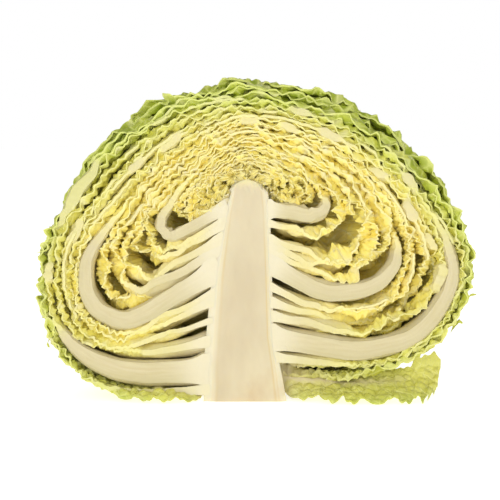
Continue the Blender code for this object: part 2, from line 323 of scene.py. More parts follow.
# A leaf is laid out on a half disc before it is bent to shape. The disc's centre is the top of the head, its
# round edge is the stem and its straight edge is the cut, with a running to the right along it and b
# backwards from it. The spot (a, b), at distance q from the centre, lies 1 - q of the way along the head's
# profile from the stem to the top.

SHOULDER_LAYER, OUTER_LAYER = 3.2, 4.0
BACK_SAG = (0, .002, .0105, .0105, .002, 0, 0, 0, 0)  # how much lower the outer layer runs behind the cut
RIB_HALF_WIDTH = .010
RIB_INWARD = .5  # the share of a rib's thickness that stands on the blade's inner side
RIB_CROWDING = 1.4  # a leaf within this many layers of a rib is pushed aside by it
FOOT_WIDTH = .34  # the blade's half width where it leaves the stem, as a share of the greatest
WIDEST_AT = .55
ROUNDING = .05  # how far along the profile its turns are rounded
SUNK = .03  # how far a leaf's foot runs into the stem, on the disc
LEAF_STEP = .17  # layers from one leaf to the next
TABLE_GAP = .0002  # how far above the table a leaf ends
FRAYING = 6  # how far a margin frays on the disc, for each metre of ruffle

# The thick ribs that push their neighbours aside, as in the leaves' own lists: layer, bearing in degrees from
# the right round the back, thickness at the foot, and where on the leaf the rib has thinned away.
THICK_RIBS = (
    (.86, 2, .0060, .60), (1.20, 178, .0042, .80), (1.68, 170, .0032, .45), (1.84, 2, .0072, .62),
    (2.20, 178, .0076, .72), (2.80, 3, .0084, .70), (3.00, 168, .0036, .45), (3.20, 177, .0096, .45),
    (3.81, 128, .0052, .70), (4.00, 50, .0066, .80),
)


def smooth_line(p, place):
    """A smooth line through all the points but the first and the last, which only steer its ends."""
    i = np.clip(place.astype(int), 0, len(p) - 4)
    f = (place - i)[..., None]
    p0, p1, p2, p3 = p[i], p[i + 1], p[i + 2], p[i + 3]
    return p1 + f / 2 * (p2 - p0 + f * (2 * p0 - 5 * p1 + 4 * p2 - p3 + f * (3 * p1 - p0 - 3 * p2 + p3)))


def curve(points, u):
    """A profile's line, carried on past the top of the head as its mirror image."""
    p = np.array(points, float)
    ends = np.vstack([2 * p[0] - p[1], p, p[-2] * (-1, 1)])
    return smooth_line(ends, np.clip(u, -SUNK, 1) * (len(p) - 1))


def profile(keys, layer, u):
    """(distance, height) of a layer at u, which runs from 0 at the stem to 1 at the top of the head."""
    knots = sorted(keys)
    upper = min(max(int(np.searchsorted(knots, layer, side="right")), 1), len(knots) - 1)
    share = (layer - knots[upper - 1]) / (knots[upper] - knots[upper - 1])
    points = np.array(keys[knots[upper - 1]]) * (1 - share) + np.array(keys[knots[upper]]) * share
    ease = ROUNDING * np.clip(np.minimum(u, 1 - u) / ROUNDING, 0, 1)
    return (curve(points, u - ease) + 2 * curve(points, u) + curve(points, u + ease)) / 4


def on_head(layer, a, b):
    """Where a layer passes over the spot (a, b) of the disc."""
    q = np.hypot(a, b)
    toward = np.arctan2(b, a)
    right, left = profile(RIGHT, layer, 1 - q), profile(LEFT, layer, 1 - q)
    back = (right + left) / 2
    sag = curve([(0, drop) for drop in BACK_SAG], 1 - q)[..., 1]
    back[..., 1] -= sag * max(layer - SHOULDER_LAYER, 0) / (OUTER_LAYER - SHOULDER_LAYER)
    side = np.where(np.cos(toward)[..., None] > 0, right, left)
    behind = (np.sin(toward) ** 2)[..., None]
    shape = side * (1 - behind) + back * behind
    radius, height = shape[..., 0], shape[..., 1]
    return np.stack([radius * np.cos(toward), FACE_Y + radius * np.sin(toward), height], -1)


def outward(layer, a, b):
    """The unit normal of a layer, pointing out of the head."""
    step = .001
    along_a = on_head(layer, a + step, b) - on_head(layer, a - step, b)
    along_b = on_head(layer, a, b + step) - on_head(layer, a, b - step)
    normal = np.cross(along_a, along_b)
    return normal / np.maximum(np.linalg.norm(normal, axis=-1, keepdims=True), 1e-12)


def on_leaf(bearing, a, b):
    """The same spot as distance along a leaf from its foot, and distance across from its rib."""
    turn = np.radians(bearing)
    return 1 - a * np.cos(turn) - b * np.sin(turn), b * np.cos(turn) - a * np.sin(turn)


def half_width(share):
    """A leaf's width at a share of its length, against its widest: narrow at the foot, rounded at the tip."""
    swelling = FOOT_WIDTH + (1 - FOOT_WIDTH) * np.sin(np.pi / 2 * np.clip(share / WIDEST_AT, 0, 1))
    closing = np.cos(np.pi / 2 * np.clip((share - WIDEST_AT) / (1 - WIDEST_AT), 0, 1)) ** .6
    return np.where(share < WIDEST_AT, swelling, closing)


def rib(layer, bearing, foot, end, a, b):
    """The thickness that the rib adds at the spot."""
    length, across = on_leaf(bearing, a, b)
    spot = on_head(layer, a, b)
    stretch = np.hypot(spot[..., 0], spot[..., 1] - FACE_Y) / np.maximum(np.hypot(a, b), .014)
    thinning = 1 - np.clip(length / end, 0, 1) ** 3.5
    return foot * thinning * np.exp(-((across * stretch / RIB_HALF_WIDTH) ** 2))


def crowded(layer, a, b):
    """How far the thick ribs of other leaves push this one outwards, or inwards where it is negative."""
    push = 0
    for other in THICK_RIBS:
        apart = layer - other[0]
        share = 1 - RIB_INWARD if apart > 0 else -RIB_INWARD
        if 0 < abs(apart) < RIB_CROWDING:
            push = push + share * (1 - abs(apart) / RIB_CROWDING) * rib(*other, a, b)
    return push


def blisters(x, y):
    """The skin's height between the veins, from 0 to 1, and how close the nearest vein is, from 0 to 1."""
    i, j = np.floor(x).astype(int), np.floor(y).astype(int)
    nearest, second = np.full(x.shape, 9.), np.full(x.shape, 9.)
    bulge = np.zeros(x.shape)
    for di in (-1, 0, 1):
        for dj in (-1, 0, 1):
            chance = CHANCES[(i + di) % 128, (j + dj) % 128]
            away = np.hypot(i + di + .1 + .8 * chance[..., 0] - x, j + dj + .1 + .8 * chance[..., 1] - y)
            closer = away < nearest
            second = np.where(closer, nearest, np.minimum(second, away))
            bulge = np.where(closer, chance[..., 2], bulge)
            nearest = np.where(closer, away, nearest)
    inside = np.sin(np.pi / 2 * np.clip((second - nearest) / .75, 0, 1))
    return inside * (.6 + .8 * bulge), np.exp(-((second - nearest) / .12) ** 2)


def leaf_grid(leaf, spacing, depths, fraying):
    """Rows of spots (a, b) that cover a leaf on the disc, from the cut backwards, and a unit in metres."""
    layer, bearing, _, _, reach, widest = leaf
    wide_a, wide_b = np.linspace(-1 - SUNK, 1 + SUNK, 2001)[None, :], np.linspace(0, 1 + SUNK, 501)[:, None]
    length, across = on_leaf(bearing, wide_a, wide_b)
    inside = (np.abs(across) <= widest * half_width(length / reach)) & (length < reach)
    inside &= np.hypot(wide_a, wide_b) <= 1 + SUNK
    full = np.flatnonzero(inside.any(1))
    known = wide_b[full, 0]
    low = wide_a[0, inside[full].argmax(1)]
    high = wide_a[0, inside.shape[1] - 1 - inside[full][:, ::-1].argmax(1)]

    line = on_head(layer, np.linspace(-1, 1, 400), np.zeros(400))
    unit = np.linalg.norm(np.diff(line, axis=0), axis=1).sum() / 2
    steps = [depth for depth in depths if depth < unit * known[-1] - spacing] + [unit * known[-1]]
    b = np.clip(np.array(steps) / unit, known[0], known[-1])[:, None]
    columns = int(unit * (high - low).max() / spacing)
    share = np.arange(columns + 1)[None, :] / columns
    left = np.interp(b, known, low) + fraying * wobble(b, 0 * b + layer, .02)
    right = np.interp(b, known, high) + fraying * wobble(b, 0 * b + layer + 5, .02)
    foot_arc = np.sqrt(np.maximum((1 + SUNK) ** 2 - b ** 2, 0))
    left, right = np.clip(left, -foot_arc, foot_arc), np.clip(right, -foot_arc, foot_arc)
    a = left + (right - left) * share
    return a, b + 0 * a, unit


SIDE_VEIN_HALF_WIDTH = .006


def with_side_veins(own, layer, a, b, unit, side_veins):
    """The rib's thickness with the thickest side veins, each an uneven lens between two spots of the disc."""
    for a_0, b_0, a_1, b_1, thick in side_veins:
        run = ((a - a_0) * (a_1 - a_0) + (b - b_0) * (b_1 - b_0)) / ((a_1 - a_0) ** 2 + (b_1 - b_0) ** 2)
        run = np.clip(run, 0, 1)
        off = np.hypot(a - a_0 - run * (a_1 - a_0), b - b_0 - run * (b_1 - b_0)) * unit
        uneven = 1 + .4 * wobble(a + layer, b, .013, 3)
        lens = (1 - (2 * run - 1) ** 4) * uneven * np.exp(-((off / SIDE_VEIN_HALF_WIDTH) ** 2))
        own = np.maximum(own, thick * lens)
    return own


SMOOTH_FOOT, SMOOTH_OVER = .03, .12  # a leaf is smooth up to here on the profile, and puckered this far on
STIFF_RIB = .0016  # a rib this thick leaves little pucker in the blade on it
CRINKLE_CELL = .55  # the size of the finest crinkles, against a blister
CRUMPLED_AT, CRUMPLED_OVER = .25, .16  # where on the profile the leaves have room to crumple
LONG_FOLD, SHORT_FOLD = .085, .046  # the folds' lengths on the disc
COARSE_WAVE = .0010  # the height of the slow wave in the whole blade
VEIN_SPACING, VEIN_SLANT, VEIN_HALF_WIDTH = .13, .75, .0010  # the lateral veins
FILLED = .0021  # the most that a blade is thickened behind the cut


def leaf_shape(leaf, spacing, depths, blade, blister, swell, folds=1, packed=1, webbed=0, hollow_left=0,
               round_back=False, ruffle=0, side_veins=(), openings=()):
    """The inner and outer face of a leaf, and the values its material needs, each as rows by columns.

    swell, folds and ruffle say how strongly the blade is blistered, folded and frilled. packed and webbed say
    how far it fills the space to the next leaf, behind the cut and at the foot. hollow_left says how much of
    that is left open at the foot on the head's left side.
    """
    layer, bearing, foot, end, reach, widest = leaf
    a, b, unit = leaf_grid(leaf, spacing, depths, FRAYING * ruffle)
    spot, normal = on_head(layer, a, b), outward(layer, a, b)
    length, across = on_leaf(bearing, a, b)
    free = np.minimum(widest * half_width(length / reach) - np.abs(across), reach - length) * unit
    depth = spot[..., 1] - FACE_Y
    radius = np.hypot(spot[..., 0], depth)
    scale = np.minimum(radius / np.maximum(np.hypot(a, b), .02), unit)  # metres to a unit, the shorter way
    u = 1 - np.hypot(a, b)
    smooth = np.clip((u - SMOOTH_FOOT) / SMOOTH_OVER, 0, 1)
    room = LEAF_STEP * np.linalg.norm(on_head(layer + .1, a, b) - on_head(layer - .1, a, b), axis=-1) / .2

    # Ribs stay stiff and smooth. So do a few plain pale spots of the blade.
    midrib = rib(layer, bearing, foot, end, a, b)
    own = with_side_veins(midrib, layer, a, b, unit, side_veins)
    side_vein = own - midrib
    patch = np.clip((wobble(a + 2 * layer, b, .042, 3) - .55) / .2, 0, 1) * smooth * (layer < 3.5)
    flat = np.exp(-(midrib + .4 * side_vein) / STIFF_RIB) * (1 - .75 * patch)

    # The blade swells between its veins, crinkles no finer than its rows allow, and folds where it has room.
    cell = blister / unit
    back_along = b * unit if round_back else depth
    dome, vein = blisters(a / cell + 7 * layer, back_along / blister)
    crinkle = wobble(a / cell + 3 * layer, back_along / blister, CRINKLE_CELL, 1)
    crinkle *= np.clip(.7 * blister / (np.gradient(b[:, :1], axis=0) * unit), 0, 1)
    crumpled = np.exp(-((u - CRUMPLED_AT) / CRUMPLED_OVER) ** 2)
    lift = swell * blister * np.sqrt(scale / unit) * smooth * flat * (1 + .3 * crumpled)
    lift *= .6 * (.5 - dome) + .8 * crinkle
    fold = wobble(a + layer, b, LONG_FOLD) + .6 * wobble(a + layer, b, SHORT_FOLD, 1)
    lift += folds * (.42 + .25 * crumpled) * room * smooth * (.2 + .8 * flat) * fold
    margin = np.exp(-np.maximum(free, 0) / .008)
    lift += ruffle * margin * (.4 + wobble(a, b, .045, 2) + .6 * wobble(a, b, .02, 3))
    lift += COARSE_WAVE * np.sin(9 * a + 4 * b) * np.sin(8 * b - 3 * a)
    lift += crowded(layer, a, b)

    # In an opening the leaf stands back from the cut, and may stand proud there in a loose frill.
    hollow = 0 * a
    exposed = 0 * a
    for middle, half, away, rise in openings:
        near = np.exp(-((a - middle) / half) ** 4)
        hollow += away * near
        exposed += near * (rise > 0)
        frill = .7 + .5 * wobble(a, b, .03, 1) + .4 * wobble(a, b, .012, 2)
        lift += rise * near * frill * np.exp(-depth / .035)

    # Lateral veins leave the midrib in pairs and run slantwise to the margin.
    pairs = (length - VEIN_SLANT * np.abs(across)) / VEIN_SPACING + .5 * (across > 0)
    branch = np.abs(pairs % 1 - .5) * VEIN_SPACING * scale
    lateral = np.exp(-((branch / VEIN_HALF_WIDTH) ** 2)) * np.exp(-np.abs(across) / .35) * flat
    lateral = np.maximum(lateral * np.clip((scale / unit - .25) / .3, 0, 1), .8 * patch)

    # Behind the cut and at the foot the blades fill the space between them, so that no gap runs deep.
    thick = blade * (.8 + .35 * vein) + .0006 * lateral * min(1, unit / .15)
    web = webbed * (1 - hollow_left * np.clip(-a / .5, 0, 1)) * .85 * room * np.exp(-((u / .17) ** 2))
    thick += web * (1 - np.exp(-np.maximum(depth - .0007, 0) / .0018))
    behind = 1 - np.exp(-np.maximum(depth - .0005, 0) / .0016)
    thick += packed * np.minimum(.75 * room, FILLED) * behind * smooth
    flare = 1 + .6 * np.exp(-np.maximum(u, 0) / .025)
    inner = lift - RIB_INWARD * own * flare - thick / 2
    outer = lift + (1 - RIB_INWARD) * own * flare + thick / 2

    # The cut edge is ragged. Each leaf's lies in a plane of its own, so that no two flicker where they meet.
    ragged = .0008 * (1.4 + wobble(a, 0 * a + layer, .03) + .6 * wobble(a, 0 * a + layer, .008, 1))
    ragged += .0020 * np.maximum(wobble(a, 0 * a + 3 * layer, .13, 2), 0)
    back = (hollow * np.exp(-depth / .015) + ragged * np.exp(-depth / .006)) * flat * smooth
    step = back[..., None] * (0, 1, 0)
    faces = [spot + offset[..., None] * normal + step for offset in (inner, outer)]
    knife = FACE_Y + .12 * MM * (7.31 * layer % 1)
    for face in faces:
        face[..., 2] = np.maximum(face[..., 2], TABLE + TABLE_GAP)
        face[..., 1] = np.maximum(face[..., 1], knife + b * unit * .2)

    at_foot = np.maximum(u, 0)
    pale = np.clip((midrib - .0008) / .0026, 0, 1) + .5 * np.clip((side_vein - .0004) / .0016, 0, 1)
    greening = np.clip((layer - 2.1) / 1.7, 0, 1) * (.55 + .45 * u) + .12 * wobble(a + layer, b, .1, 2)
    values = {
        "rib": np.maximum(pale, .9 * np.exp(-(at_foot / .11) ** 2)),
        "pairs": pairs,
        "foot": .9 * np.exp(-(at_foot / .07) ** 2),
        "lateral": lateral,
        "green": greening + .55 * np.clip(u - .55, 0, 1) * np.clip(layer - 1.7, 0, 1) + .6 * exposed,
        "vein": vein,
        "cut": np.maximum.reduce([np.exp(-depth / .0007), .7 * np.exp(-np.maximum(free, 0) / .0012),
                                  .9 * np.clip(side_vein / .0016, 0, 1)]),
        "along": a * unit,
        "thick": own,
    }
    return faces, values


def add_leaf(name, leaf, finish, slot, **shape):
    """A leaf of the head. Its value "through" runs through the rib from the inner face to the outer."""
    (inner, outer), values = leaf_shape(leaf, **shape)
    rows, columns = inner.shape[0] - 1, inner.shape[1] - 1

    def places(column, row, face):
        spots = np.where((face > 0)[:, None], outer[row, column], inner[row, column])
        named = {label: value[row, column] for label, value in values.items()}
        named["through"] = (face - .5) * named.pop("thick")
        return spots, named

    piece = to_piece(name + "_blade", slab_grid(columns, rows), places, merge=2e-5)
    piece.data.materials.append(finish)
    return piece


YELLOW, AMBER, GREEN, MOSS = (.96, .81, .18), (.92, .74, .13), (.50, .56, .04), (.29, .37, .015)  # the blade
YELLOW_CUT, GREEN_CUT = (.93, .83, .35), (.70, .74, .20)  # its veins and cut edges
# The rib's third colour is its duller outer skin, darkened further as painted shade.
CREAM, FIBRE, RIB_SKIN_AND_SHADE = (.73, .65, .41), (.58, .49, .25), (.54, .48, .24)  # the rib


def leaf_finish(name, cells=160, netted=.35):
    """Leaf flesh: yellow within the head and green outside, with pale veins and cut edges and cream ribs.

    cells is how many meshes of the finest veins go to a metre, and netted how clearly they show.
    """
    material, surface, place = new_finish(name, roughness=.5, scatter=.12,
                                          scatter_radius=(.0020, .0018, .0006))
    green = attribute(place, "green").clamped()
    deep = (attribute(place, "green") - 1).clamped()
    blotch = noise(place, scale=70, detail=4).between(.38, .66)
    blade = green.blend(blotch.blend(YELLOW, AMBER), blotch.blend(deep.blend(GREEN, MOSS), MOSS))
    cut = green.blend(YELLOW_CUT, GREEN_CUT)

    # Three sizes of vein: the pairs that branch from the rib, those between the blisters, and the finest net.
    branch = attribute(place, "pairs").fraction() - .5
    branch = 1 - (branch * branch * 260).clamped()
    net = place.node("ShaderNodeTexVoronoi", {"feature": "DISTANCE_TO_EDGE"},
                     {"Vector": place, "Scale": cells})
    net = 1 - (net * 9).clamped()
    vein = (attribute(place, "vein") * .3 + net * netted + branch * .5).clamped()
    blade = vein.blend(blade, cut)
    blade = (attribute(place, "cut") * .8).clamped().blend(blade, cut)
    blade = (attribute(place, "lateral") * .4).blend(blade, CREAM)

    # The rib is fibrous flesh under a duller skin and painted shade, pale as the stem's rind at its foot.
    fibre = place.node("ShaderNodeCombineXYZ", {},
                       {0: attribute(place, "along"), 1: attribute(place, "through")})
    flesh = noise(fibre, scale=1, stretch=(60, 900, 1)).blend(FIBRE, CREAM)
    # Painted shade, in part: the rib darkens towards its outer face, partly as its greener skin, partly as
    # shadow.
    flesh = ((attribute(place, "through") * 190 + .1).clamped() * .6).blend(flesh, RIB_SKIN_AND_SHADE)
    flesh = attribute(place, "foot").blend(flesh, RIND)
    feed(surface, "Base Color", attribute(place, "rib").clamped().blend(blade, flesh))
    grooves = (net * .6 + branch * .8) * (1 - attribute(place, "rib").clamped())
    bump(surface, noise(place, scale=320, detail=4) * 1.5 - grooves, distance=.0004)
    return material


# Layer, bearing of the rib, its thickness at the foot, where it ends, the leaf's reach, and its half width.
HEART_LEAVES = {
    "heart_bud": (.12, 90, .0020, .3, 1.85, .98),
    "heart_leaf_1": (.42, 120, .0018, .4, 1.60, .80),
    "heart_leaf_2": (.86, 2, .0060, .60, 1.40, .74),
    "heart_leaf_3": (1.03, 14, .0024, .4, 1.45, .76),
    "heart_leaf_4": (1.20, 178, .0042, .80, 1.45, .76),
}
# How far behind the cut the grid has its rows, in metres: close at the cut edge, wide where nothing shows.
HEART_DEPTHS = [.001 * d for d in (0, .4, .8, 1.3, 1.9, 2.6, 3.4, 4.4, 5.6, 7, 9, 12, 17, 25, 37, 54)]
heart_finish = leaf_finish("heart_leaf")

for name, leaf in HEART_LEAVES.items():
    piece = add_leaf(name, leaf, heart_finish, "heart_leaf", spacing=.00045, depths=HEART_DEPTHS, blade=.0005,
                     blister=.0022, swell=.55)
    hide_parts(name)

HEART_FOLDS = {  # the unopened leaves about the growing tip
    "heart_fold_0": (-.52, 80, .0008, .20, 1.85, .98),
    "heart_fold_1": (-.30, 90, .0010, .20, 1.85, .98),
    "heart_fold_2": (-.08, 70, .0010, .20, 1.85, .98),
    "heart_fold_3": (.27, 100, .0010, .20, 1.80, .95),
    "heart_fold_4": (.58, 70, .0010, .20, 1.70, .90),
    "heart_fold_5": (.72, 160, .0016, .30, 1.30, .75),
}
for name, leaf in HEART_FOLDS.items():
    add_leaf(name, leaf, heart_finish, "heart_leaf", spacing=.00035, depths=HEART_DEPTHS, blade=.0005,
             blister=.0020, swell=.55, folds=1.1)


# ---- The inner leaves ----
# Pale yellow leaves that never saw the light, blistered between their veins. Each grows on a cream rib, and
# three of those ribs are thick enough to push the leaves round them aside.

INNER_LEAVES = {
    "inner_leaf_1": (1.36, 168, .0024, .4, 1.45, .76),
    "inner_leaf_2": (1.52, 12, .0028, .4, 1.45, .78),
    "inner_leaf_3": (1.68, 170, .0032, .45, 1.45, .78),
    "inner_leaf_4": (1.84, 2, .0072, .62, 1.45, .78),
    "inner_leaf_5": (2.02, 95, .0030, .4, 1.50, .80),
    "inner_leaf_6": (2.20, 178, .0076, .72, 1.45, .78),
}
INNER_DEPTHS = [.001 * d for d in (0, .5, 1.1, 1.8, 2.6, 3.5, 4.5, 5.6, 6.9, 8.4, 10.2, 12.5, 16, 22, 31, 44,
                                   60)]
INNER_SIDE_VEINS = {  # thick side veins that the knife cuts aslant: from and to, on the disc, and thickness
    "inner_leaf_6": ((-.018, 0, .024, .006, .0026), (.056, 0, .094, .006, .0026)),
}
inner_finish = leaf_finish("inner_leaf")
for name, leaf in INNER_LEAVES.items():
    piece = add_leaf(name, leaf, inner_finish, "inner_leaf", spacing=.0006, depths=INNER_DEPTHS, blade=.0006,
                     blister=.0028, swell=.62, webbed=.4 if leaf[0] > 1.9 else .1,
                     side_veins=INNER_SIDE_VEINS.get(name, ()))
    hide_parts(name)

INNER_FOLDS = {  # lobes of these leaves, folded into the space between them
    "inner_fold_1": (1.38, 4, .0024, .30, .90, .55),
    "inner_fold_2": (1.48, 178, .0020, .35, .95, .60),
    "inner_fold_3": (1.68, 5, .0020, .30, .90, .55),
    "inner_fold_4": (1.84, 177, .0034, .42, .95, .62),
    "inner_fold_5": (2.10, 6, .0024, .30, .90, .60),
}
for name, leaf in INNER_FOLDS.items():
    add_leaf(name, leaf, inner_finish, "inner_leaf", spacing=.0006, depths=INNER_DEPTHS, blade=.0006,
             blister=.0028, swell=.62, folds=1.2)


# ---- The middle leaves ----
# Larger leaves, yellow at the foot and pale green over the top, with coarser blisters and thick ribs. They
# stand further apart than the inner ones and leave hollows at either side, half filled by folded lobes.

MIDDLE_LEAVES = {
    "middle_leaf_1": (2.36, 14, .0032, .4, 1.50, .80),
    "middle_leaf_2": (2.50, 166, .0032, .4, 1.50, .80),
    "middle_leaf_3": (2.65, 65, .0030, .4, 1.45, .80),
    "middle_leaf_4": (2.80, 3, .0084, .70, 1.42, .82),
    "middle_leaf_5": (3.00, 168, .0036, .45, 1.42, .80),
    "middle_leaf_6": (3.20, 177, .0096, .45, 1.26, .80),
}
MIDDLE_DEPTHS = [.001 * d for d in (0, .6, 1.3, 2.1, 3, 4, 5.1, 6.4, 8, 10, 12.5, 16, 22, 31, 44, 60, 80)]
# Where a leaf stands back from the cut: middle and half width on the disc, how far back, how far out.
MIDDLE_OPENINGS = {
    "middle_leaf_1": ((.66, .16, .0100, 0),),
    "middle_leaf_2": ((.62, .17, .0130, 0), (-.45, .08, .0040, 0)),
    "middle_leaf_3": ((.66, .14, .0090, 0), (-.72, .09, .0060, 0)),
}
MIDDLE_SIDE_VEINS = {
    "middle_leaf_1": ((.220, 0, .258, .006, .0028), (.300, 0, .345, .006, .0032)),
    "middle_leaf_2": ((-.178, 0, -.132, .006, .0030), (.116, 0, .156, .006, .0030),
                      (.370, 0, .420, .006, .0030)),
    "middle_leaf_3": ((.440, 0, .535, .006, .0028), (-.235, 0, -.200, .006, .0026)),
    "middle_leaf_4": ((-.390, 0, -.338, .008, .0038),),
    "middle_leaf_5": ((.060, 0, .095, .006, .0028), (.255, 0, .290, .006, .0028)),
    "middle_leaf_6": ((-.475, 0, -.425, .006, .0030),),
}
middle_finish = leaf_finish("middle_leaf")
for name, leaf in MIDDLE_LEAVES.items():
    piece = add_leaf(name, leaf, middle_finish, "middle_leaf", spacing=.00082, depths=MIDDLE_DEPTHS,
                     blade=.0007, blister=.0036, swell=.6, webbed=.9, hollow_left=.8 * (2.4 < leaf[0] < 2.9),
                     openings=MIDDLE_OPENINGS.get(name, ()), side_veins=MIDDLE_SIDE_VEINS.get(name, ()))
    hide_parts(name)

MIDDLE_FOLDS = {  # lobes, folded into the space between them
    "middle_fold_1": (2.38, 176, .0022, .30, .90, .60),
    "middle_fold_2": (2.58, 5, .0030, .30, .90, .60),
    "middle_fold_3": (2.77, 176, .0014, .35, .90, .60),
    "middle_fold_4": (3.28, 6, .0030, .25, .70, .50),
}
for name, leaf in MIDDLE_FOLDS.items():
    add_leaf(name, leaf, middle_finish, "middle_leaf", spacing=.0008, depths=MIDDLE_DEPTHS, blade=.0007,
             blister=.0034, swell=.62, folds=1.5, webbed=.7, hollow_left=.8)


# ---- The outer leaves ----
# The outermost leaves are green, coarse and deeply puckered, with frilled margins and strong pale veins. They
# wrap the head all round its back, and the knife left some shreds on the last one.

OUTER_LEAVES = {
    "outer_leaf_1": (3.42, 38, .0024, .5, 1.38, .76),
    "outer_leaf_2": (3.64, 98, .0036, .5, 1.25, .66),
    "outer_leaf_3": (3.81, 128, .0052, .7, 1.10, .62),
    "outer_leaf_4": (4.00, 50, .0066, .8, 1.08, .66),
}
OUTER_DEPTHS = [.001 * d for d in (0, .6, 1.4, 2.4, 3.7, *np.arange(5.4, 180, 2.6))]
outer_finish = leaf_finish("outer_leaf", cells=140, netted=.7)
SHOULDER_VEIN = (-.37, .0, -.24, .01, .0036)  # a thick side vein along the left shoulder
OUTER_OPENINGS = {  # the torn margins over the top
    "outer_leaf_1": ((.34, .09, .0070, 0),),
    "outer_leaf_2": ((.14, .10, .0050, 0), (-.34, .08, .0060, 0)),
    "outer_leaf_3": ((-.20, .10, .0070, .0010), (.20, .12, .0060, .0005), (.42, .08, .0060, 0)),
    "outer_leaf_4": ((-.20, .08, .0120, .0046), (-.01, .045, .0070, .0006), (.20, .12, .0100, .0024)),
}
for name, leaf in OUTER_LEAVES.items():
    piece = add_leaf(name, leaf, outer_finish, "outer_leaf", spacing=.0014, depths=OUTER_DEPTHS, blade=.0008,
                     blister=.0056, swell=.52, ruffle=.0024, packed=float(leaf[0] < 3.7), webbed=1.1,
                     round_back=True, openings=OUTER_OPENINGS.get(name, ()),
                     side_veins=(SHOULDER_VEIN,) if name == "outer_leaf_1" else ())
    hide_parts(name)

add_leaf("outer_fold_1", (3.86, 177, .0030, .30, .50, .45), outer_finish, "outer_leaf", spacing=.0008,
         depths=MIDDLE_DEPTHS, blade=.0008, blister=.0045, swell=.6, packed=0, ruffle=.0015)

TORN_STRIPS = {  # shreds on the outermost leaf, from root to tip
    "torn_strip_1": ((.0985, .004, .0405), (.1025, .001, .0440), (.1052, -.001, .0492),
                     (.1085, -.002, .0500)),
    "torn_strip_2": ((.0975, .003, .0330), (.1002, .000, .0368), (.1022, -.001, .0362)),
    "torn_strip_3": ((.0890, .004, .0965), (.0918, .002, .1000), (.0925, .001, .1035)),
    "torn_strip_4": ((-.0930, .004, .0300), (-.0948, .001, .0268), (-.0938, .000, .0245)),
}
STRIP_WIDTH = .0034  # at the root
STRIP_THICKNESS = .0005
STRIP_ACROSS = (.35, .3, .9)  # the way that a shred's width runs
STRIP_GRID = (24, 4)  # steps along and across


def open_curve(points, u):
    """A smooth line from the first of the points, where u is 0, to the last, where it is 1."""
    ends = np.vstack([2 * points[0] - points[1], points, 2 * points[-1] - points[-2]])
    return smooth_line(ends, u * (len(points) - 1))


for name, spots in TORN_STRIPS.items():
    steps_along, steps_across = STRIP_GRID
    centre = open_curve(np.array(spots), np.arange(steps_along + 1) / steps_along)

    def places(column, row, face):
        u, v = column / steps_along, row / steps_across
        width = STRIP_WIDTH * (1 - u) ** .5 * (1 + .4 * wobble(u, 0 * u, .12, 1))
        moved = centre[column] + (v - .5)[:, None] * width[:, None] * np.array(STRIP_ACROSS)
        moved[:, 1] += STRIP_THICKNESS * face + .0005 * wobble(v, u, .2, 2)
        return moved, {"green": .8 + 0 * u, "cut": .6 * u, "rib": 0 * u}

    piece = to_piece(name, slab_grid(*STRIP_GRID), places, merge=2e-5)
    piece.data.materials.append(outer_finish)


# ---- The loose leaves ----
# Two torn outer leaves lie in front of the foot, one on either side. Each rests on the table along its lobed
# hem, and from there the blistered blade curls up and back, over its own flattened rib.

# Lines across each leaf, from its foot to its tip: the spots at the hem, halfway up and at the top edge.
LOOSE_LEAVES = {
    "loose_leaf_1": (
        ((.0172, -.0030, .0012), (.0168, -.0002, .0060), (.0170, .0010, .0098)),
        ((.0330, -.0150, .0002), (.0350, -.0050, .0052), (.0360, .0030, .0100)),
        ((.0500, -.0190, .0002), (.0520, -.0070, .0048), (.0530, .0050, .0092)),
        ((.0690, -.0200, .0002), (.0705, -.0065, .0056), (.0700, .0040, .0120)),
        ((.0815, -.0165, .0002), (.0850, -.0030, .0080), (.0840, .0050, .0180)),
        ((.0870, -.0085, .0016), (.0910, .0000, .0095), (.0925, .0040, .0160)),
    ),
    "loose_leaf_2": (
        ((-.0210, -.0060, .0002), (-.0212, -.0030, .0020), (-.0214, .0010, .0026)),
        ((-.0310, -.0150, .0002), (-.0330, -.0070, .0024), (-.0350, .0020, .0022)),
        ((-.0450, -.0160, .0006), (-.0470, -.0080, .0026), (-.0480, .0010, .0020)),
        ((-.0600, -.0120, .0014), (-.0610, -.0060, .0028), (-.0600, .0000, .0020)),
    ),
}
LOOSE_STEP, LOOSE_ROWS = .0006, 46  # the grid: its step along the leaf, and its rows from hem to top edge
LOOSE_THICKNESS = .0009
LOOSE_FRONT = -.0200  # the hem comes no further forward
LOOSE_RIB = .64  # where the rib runs between the hem, at 0, and the top edge, at 1
LOBES = ((.0105, .17), (.0046, .07))  # length and depth of the rounded lobes of the hem, and of those on them


def lobed(u, reach):
    """How far the hem is cut in along the leaf, as a share of the way to the top edge."""
    notch = 0
    for length, deep in LOBES:
        lobe = (u * reach / length + .8 * wobble(u * reach, 0 * u, 1.8 * length, 1)) % 1 - .5
        notch = notch + deep * (1 - np.sin(np.pi * np.abs(lobe)))
    return notch


